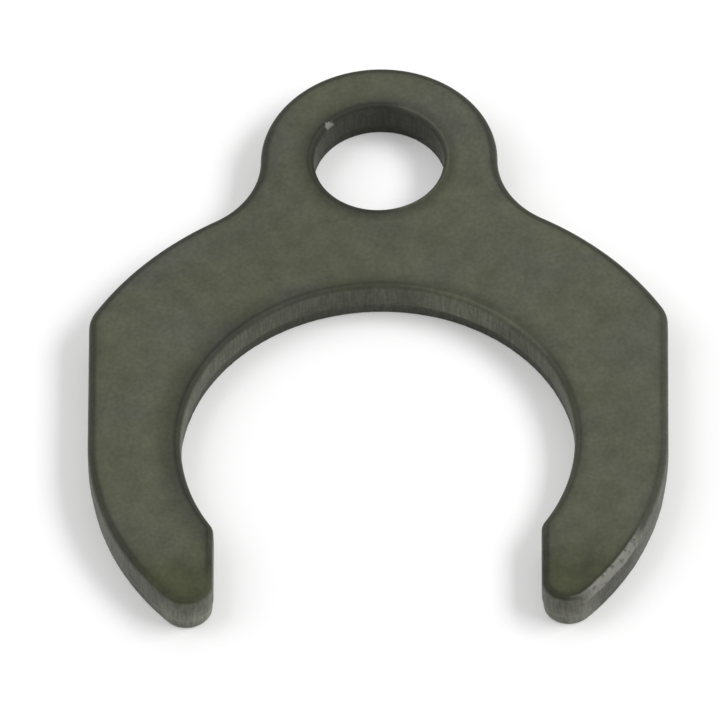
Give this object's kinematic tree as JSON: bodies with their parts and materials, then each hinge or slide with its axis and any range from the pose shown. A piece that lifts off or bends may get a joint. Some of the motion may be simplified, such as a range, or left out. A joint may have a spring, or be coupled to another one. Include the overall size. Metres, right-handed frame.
{
  "type": "circlip",
  "caption": "Flat stamped side-fitting circlip for a shaft groove: C-shaped body with flat sides, open mouth and a pull ear with a round eye, in dark phosphated spring steel.",
  "frame": {"origin": "on the bore axis, half-way through the plate", "axes": "+Z along the bore axis, from the burr face to the rolled face; +Y from the bore to the pull ear; the mouth opens along -Y; X across the two flat sides"},
  "size_m": [0.0236, 0.0282, 0.0018],
  "materials": {
    "phosphated_spring_steel": "matte"
  },
  "bodies": {
    "root": {"circlip": "phosphated_spring_steel"}
  },
  "joints": []
}
